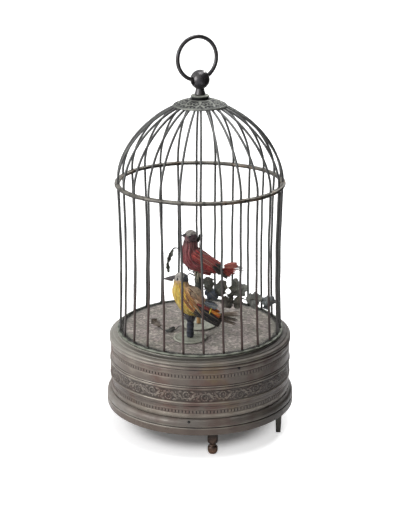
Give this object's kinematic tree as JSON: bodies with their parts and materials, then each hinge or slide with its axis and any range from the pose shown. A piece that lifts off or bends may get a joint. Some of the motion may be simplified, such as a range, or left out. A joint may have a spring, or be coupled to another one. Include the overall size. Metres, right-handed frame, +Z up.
{
  "type": "singing bird automaton",
  "caption": "Wind-up automaton of two feathered birds on stems under a domed wire cage, on a drum base that holds clockwork, bellows and a whistle.",
  "frame": {"origin": "on the ground under the middle of the drum", "axes": "+Z up, -Y to the front, where the lower bird stands, +X to the right of a viewer at the front"},
  "size_m": [0.144, 0.144, 0.3004],
  "materials": {
    "bronzed_sheet": "antiqued brown bronze over spun brass sheet, worn along the beads",
    "cage_wire": "dark gunmetal brown lacquer over brass wire",
    "waist_brass": "dull brass with golden wear",
    "crown_patina": "grey-green patina on embossed brass",
    "dark_bronze": "nearly black brown bronze, polished",
    "foot_brass": "coppery brass, darkened",
    "black_steel": "dark steel",
    "felt_floor": "grey-mauve flocked felt",
    "dish_tin": "pale grey-green painted tin",
    "leaf_cloth": "starched cloth leaves, dull green, brown and blue-black",
    "bark_wrap": "stem wrapped in dark grey-green paper",
    "dark_plumes": "dark feathers, blue-black to brown",
    "red_feathers": "feathers, crimson breast and brownish pink back",
    "plum_feathers": "feathers, dull plum with a pale grey crown",
    "tail_scarlet": "feathers, bright red",
    "yellow_feathers": "feathers, ochre yellow, brown and pinkish beige",
    "grey_feathers": "feathers, grey crown and blue-black nape",
    "horn_beak": "dark painted metal",
    "plate_brass": "lacquered brass plate",
    "wheel_brass": "bright brass",
    "spring_steel": "blued steel",
    "bellows_wood": "planed beech",
    "bellows_kid": "white kid leather"
  },
  "bodies": {
    "case": {"cage_wire_01": "cage_wire", "cage_wire_02": "cage_wire", "cage_wire_03": "cage_wire", "cage_wire_04": "cage_wire", "cage_wire_05": "cage_wire", "cage_wire_06": "cage_wire", "cage_wire_07": "cage_wire", "cage_wire_08": "cage_wire", "cage_wire_09": "cage_wire", "cage_wire_10": "cage_wire", "cage_wire_11": "cage_wire", "cage_wire_12": "cage_wire", "cage_wire_13": "cage_wire", "cage_foot_ring": "crown_patina", "cage_waist_ring": "waist_brass", "crown_cap": "crown_patina", "finial_ball": "dark_bronze", "base_casing": "bronzed_sheet", "base_rim": "bronzed_sheet", "base_plate": "bronzed_sheet", "foot_front": "foot_brass", "foot_left": "foot_brass", "foot_right": "foot_brass", "lever_pivot_screw": "black_steel", "floor_disc": "felt_floor", "front_dish": "dish_tin", "rear_dish": "dish_tin", "tree_trunk": "bark_wrap", "leaf_branch": "leaf_cloth", "leaf_twig": "leaf_cloth", "floor_vine": "leaf_cloth", "lower_bird_post": "dark_plumes", "red_bird_body": "red_feathers", "yellow_bird_body": "yellow_feathers", "movement_lower_plate": "plate_brass", "movement_upper_plate": "plate_brass", "bellows_chest": "bellows_wood", "bellows_leather": "bellows_kid", "whistle_tube": "plate_brass"},
    "ring": {"hanging_ring": "dark_bronze"},
    "lever": {"start_stop_lever": "black_steel"},
    "winding": {"barrel_arbor": "spring_steel", "winding_key": "foot_brass", "ratchet_wheel": "spring_steel"},
    "click": {"click": "spring_steel"},
    "barrel": {"mainspring_barrel": "wheel_brass", "barrel_cover": "wheel_brass", "mainspring": "spring_steel"},
    "cam": {"cam_wheel": "wheel_brass", "cam_stack": "wheel_brass"},
    "swash": {"swash_wheel": "wheel_brass"},
    "governor": {"governor_fly": "wheel_brass"},
    "bellows": {"bellows_board": "bellows_wood"},
    "piston": {"whistle_piston": "spring_steel"},
    "red_head": {"red_bird_head": "plum_feathers"},
    "red_beak": {"red_bird_beak": "horn_beak"},
    "red_tail": {"red_bird_tail": "tail_scarlet"},
    "yellow_head": {"yellow_bird_head": "grey_feathers"},
    "yellow_beak": {"yellow_bird_beak": "horn_beak"},
    "yellow_tail": {"yellow_bird_tail": "dark_plumes"}
  },
  "joints": [
    {"name": "hanging_ring_swing", "type": "hinge", "parent": "case", "child": "ring", "pos_m": [0, 0, 0.26774], "axis": [0.8812, 0.449, 0.1478], "range_deg": [-110, 110]},
    {"name": "start_stop", "type": "hinge", "parent": "case", "child": "lever", "pos_m": [0.046, -0.021, 0.017], "axis": [0, 0, 1], "range_deg": [-10, 10]},
    {"name": "winding_turn", "type": "hinge", "parent": "case", "child": "winding", "pos_m": [0.024, -0.008, 0.017], "axis": [0, 0, 1], "continuous": true},
    {"name": "click_swing", "type": "hinge", "parent": "case", "child": "click", "pos_m": [0.024, 0.005, 0.052], "axis": [0, 0, 1], "range_deg": [-18, 0], "stiffness_Nm_per_rad": 0.0001, "springref_deg": 5.73},
    {"name": "barrel_turn", "type": "hinge", "parent": "case", "child": "barrel", "pos_m": [0.024, -0.008, 0.026], "axis": [0, 0, 1], "continuous": true},
    {"name": "cam_turn", "type": "hinge", "parent": "case", "child": "cam", "pos_m": [-0.003, -0.008, 0.045], "axis": [0, 0, 1], "continuous": true},
    {"name": "swash_turn", "type": "hinge", "parent": "case", "child": "swash", "pos_m": [-0.021, -0.008, 0.039], "axis": [0, 0, 1], "continuous": true},
    {"name": "governor_turn", "type": "hinge", "parent": "case", "child": "governor", "pos_m": [-0.033, -0.008, 0.031], "axis": [0, 0, 1], "continuous": true},
    {"name": "bellows_rock", "type": "hinge", "parent": "case", "child": "bellows", "pos_m": [0, 0.02, 0.0445], "axis": [1, 0, 0], "range_deg": [-5, 0], "stiffness_Nm_per_rad": 0.02, "springref_deg": 2.86, "deforming": ["bellows_leather"]},
    {"name": "whistle_slide", "type": "slide", "parent": "case", "child": "piston", "axis": [1, 0, 0], "range_m": [-0.01, 0.006]},
    {"name": "red_head_turn", "type": "hinge", "parent": "case", "child": "red_head", "pos_m": [-0.0072, 0.0026, 0.1426], "axis": [0, 0, 1], "range_deg": [-25, 25]},
    {"name": "red_tail_flick", "type": "hinge", "parent": "case", "child": "red_tail", "pos_m": [0.01776, 0.0026, 0.12119], "axis": [0, -1, 0], "range_deg": [0, 12]},
    {"name": "red_beak_open", "type": "hinge", "parent": "red_head", "child": "red_beak", "pos_m": [-0.01162, 0.00061, 0.14914], "axis": [0.4104, -0.9119, 0], "range_deg": [0, 18], "stiffness_Nm_per_rad": 0.000003, "springref_deg": -11.46},
    {"name": "yellow_head_turn", "type": "hinge", "parent": "case", "child": "yellow_head", "pos_m": [-0.0141, -0.0271, 0.1192], "axis": [0, 0, 1], "range_deg": [-25, 25]},
    {"name": "yellow_tail_flick", "type": "hinge", "parent": "case", "child": "yellow_tail", "pos_m": [0.0059, -0.0271, 0.09553], "axis": [0, -1, 0], "range_deg": [0, 12]},
    {"name": "yellow_beak_open", "type": "hinge", "parent": "yellow_head", "child": "yellow_beak", "pos_m": [-0.01962, -0.0271, 0.12403], "axis": [0, -1, 0], "range_deg": [0, 18], "stiffness_Nm_per_rad": 0.000012, "springref_deg": -22.92}
  ],
  "couplings": [
    {"joint": "cam_turn", "follows": "barrel_turn", "ratio": -4},
    {"joint": "swash_turn", "follows": "barrel_turn", "ratio": 20},
    {"joint": "governor_turn", "follows": "barrel_turn", "ratio": -80},
    {"joint": "red_beak_open", "follows": "red_tail_flick", "ratio": 1.5},
    {"joint": "yellow_beak_open", "follows": "yellow_tail_flick", "ratio": 1.5}
  ]
}
